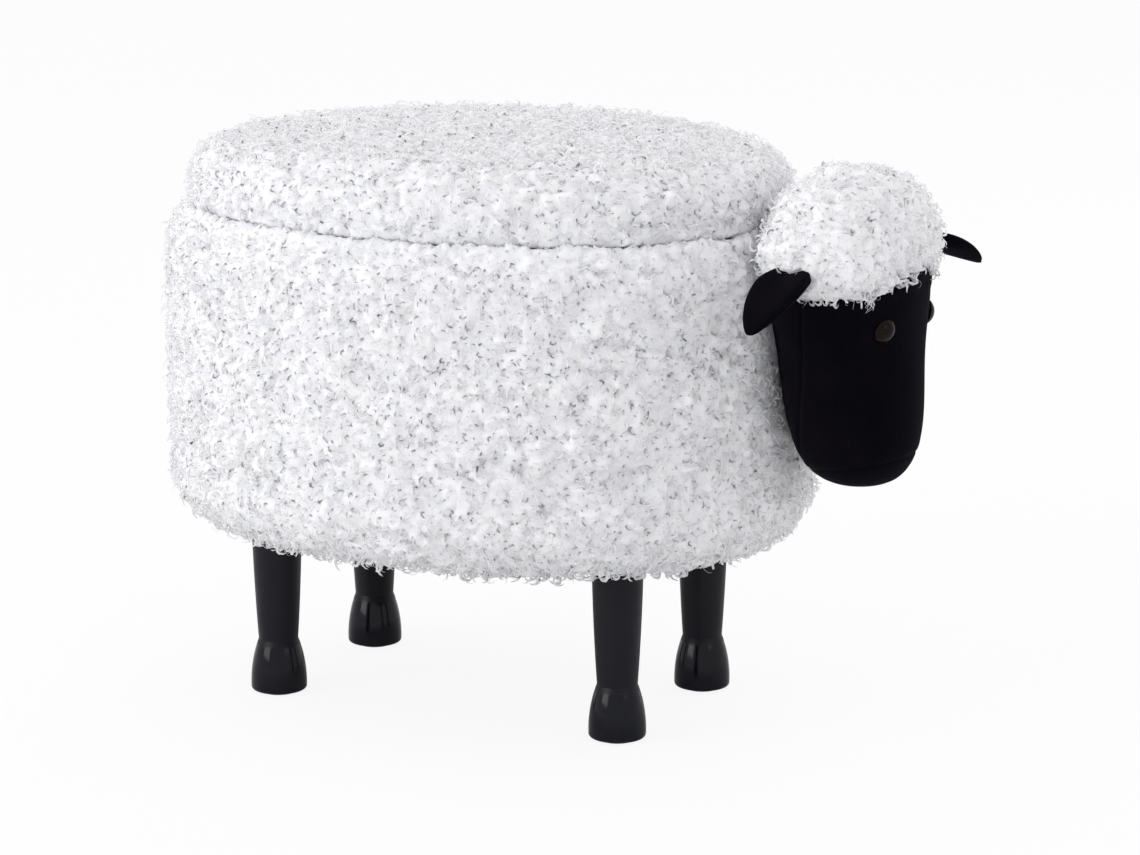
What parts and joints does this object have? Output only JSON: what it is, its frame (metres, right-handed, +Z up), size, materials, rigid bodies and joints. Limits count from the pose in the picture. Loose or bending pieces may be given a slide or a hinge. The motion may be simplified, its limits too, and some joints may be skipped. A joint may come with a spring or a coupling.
{
  "type": "animal footstool",
  "caption": "Oval storage footstool shaped as a black-faced sheep: white curly fleece box, hinged fleece lid, black stuffed head and turned legs with hooves",
  "frame": {"origin": "on the floor under the middle of the whole stool's box", "axes": "+X towards the head along the stool, +Y towards the hinge side, +Z up"},
  "size_m": [0.6261, 0.404, 0.4555],
  "materials": {
    "white_fleece": "curly long-pile fleece",
    "black_plush": "short black plush with fine seams",
    "black_lacquer": "turned wood, satin black with a glossy hoof",
    "board": "sanded fibreboard",
    "ply": "bent three-ply wood",
    "softwood": "planed softwood",
    "foam": "open-cell foam",
    "grey_lining": "woven polyester lining",
    "dust_cloth": "black non-woven cloth",
    "zinc_steel": "zinc-plated steel",
    "eye_gloss": "glossy dark brown button",
    "black_plastic": "moulded plastic"
  },
  "bodies": {
    "base": {"body_fleece": "white_fleece", "rim_fleece": "white_fleece", "hem_fleece": "white_fleece", "topknot_fleece": "white_fleece", "head": "black_plush", "ear_left": "black_plush", "ear_right": "black_plush", "leg_front_left": "black_lacquer", "leg_front_right": "black_lacquer", "leg_rear_left": "black_lacquer", "leg_rear_right": "black_lacquer", "base_board": "board", "top_ring": "board", "wall_shell": "ply", "head_board": "ply", "upright_battens": "softwood", "floor_panel": "grey_lining", "body_foam": "foam", "box_lining": "grey_lining", "dust_cloth": "dust_cloth", "batten_screws": "zinc_steel", "head_bolts": "zinc_steel", "head_washers": "zinc_steel", "head_tee_nuts": "zinc_steel", "hanger_bolts": "zinc_steel", "leg_plates": "zinc_steel", "leg_plate_screws": "zinc_steel", "hinge_fixed_leaf_rear": "zinc_steel", "hinge_fixed_leaf_front": "zinc_steel", "hinge_pins": "zinc_steel", "hinge_screws_rim": "zinc_steel", "eye_left": "eye_gloss", "eye_right": "eye_gloss", "eye_washers": "black_plastic", "floor_glides": "black_plastic"},
    "lid": {"lid_fleece": "white_fleece", "lid_foam": "foam", "lid_board": "ply", "lid_lining": "grey_lining", "hinge_moving_leaf_rear": "zinc_steel", "hinge_moving_leaf_front": "zinc_steel", "hinge_screws_lid": "zinc_steel"}
  },
  "joints": [
    {"name": "lid_hinge", "type": "hinge", "parent": "base", "child": "lid", "pos_m": [-0.052, 0.1825, 0.38975], "axis": [-1, 0, 0], "range_deg": [0, 98]}
  ]
}
